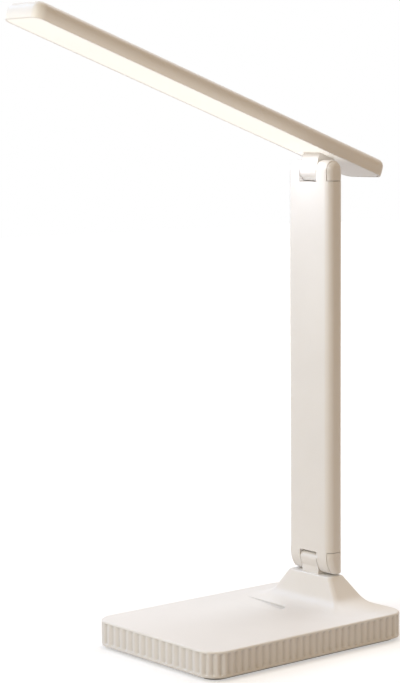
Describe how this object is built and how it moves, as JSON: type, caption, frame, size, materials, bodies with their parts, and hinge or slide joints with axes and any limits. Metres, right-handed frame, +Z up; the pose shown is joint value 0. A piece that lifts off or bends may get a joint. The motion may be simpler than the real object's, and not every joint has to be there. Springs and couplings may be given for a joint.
{
  "type": "folding desk lamp",
  "caption": "Folding LED desk lamp with a flat head on a slim hinged arm and a low rectangular base with a ribbed side.",
  "frame": {"origin": "middle of the base's footprint, on the surface the lamp stands on", "axes": "+X forwards, the way the light head reaches; +Y along both hinge axes, to the lamp's left; +Z up"},
  "size_m": [0.2712, 0.116, 0.3925],
  "materials": {
    "white_plastic": "satin moulded",
    "diffuser_white": "frosted",
    "dark_plastic": "satin moulded",
    "black_rubber": "matte",
    "plated_steel": "zinc plated",
    "screw_steel": "nickel plated",
    "battery_wrap": "foil wrap",
    "foam_tape": "foam",
    "circuit_board": "solder mask",
    "chip_black": "moulded",
    "copper_foil": "bare",
    "wire_jacket": "smooth jacket",
    "bush_plastic": "self-lubricating",
    "led_aluminium": "white solder mask",
    "led_yellow": "phosphor",
    "reflector_white": "white film"
  },
  "bodies": {
    "base": {"base_cover": "white_plastic", "base_plate": "dark_plastic", "base_weight": "plated_steel", "rubber_foot_ring": "black_rubber", "base_screws": "screw_steel", "weight_screws": "screw_steel", "stand_bolts": "screw_steel", "battery": "battery_wrap", "battery_tape": "foam_tape", "control_board": "circuit_board", "board_parts": "chip_black", "board_screws": "screw_steel", "charge_port": "plated_steel", "touch_sensor": "copper_foil", "base_harness": "wire_jacket", "lower_hinge_block": "white_plastic", "lower_pin": "plated_steel", "lower_nut": "screw_steel", "lower_spring_washers": "screw_steel"},
    "arm": {"arm_housing": "white_plastic", "arm_back_cover": "white_plastic", "arm_spine": "plated_steel", "arm_screws": "screw_steel", "arm_harness": "wire_jacket", "lower_cap_left": "white_plastic", "lower_cap_right": "white_plastic", "upper_cap_left": "white_plastic", "upper_cap_right": "white_plastic", "lower_bushes": "bush_plastic", "lower_friction_discs": "dark_plastic", "upper_bushes": "bush_plastic", "upper_friction_discs": "dark_plastic"},
    "head": {"head_housing": "white_plastic", "diffuser": "diffuser_white", "head_rear_cover": "white_plastic", "upper_hinge_block": "white_plastic", "upper_pin": "plated_steel", "upper_nut": "screw_steel", "upper_spring_washers": "screw_steel", "head_block_screws": "screw_steel", "led_board": "led_aluminium", "leds": "led_yellow", "reflector": "reflector_white", "head_harness": "wire_jacket"}
  },
  "joints": [
    {"name": "base_hinge", "type": "hinge", "parent": "base", "child": "arm", "pos_m": [-0.055, 0, 0.0441], "axis": [0, 1, 0], "range_deg": [-10, 90]},
    {"name": "head_hinge", "type": "hinge", "parent": "arm", "child": "head", "pos_m": [-0.055, 0, 0.295], "axis": [0, 1, 0], "range_deg": [-70.7, 109.3]}
  ]
}
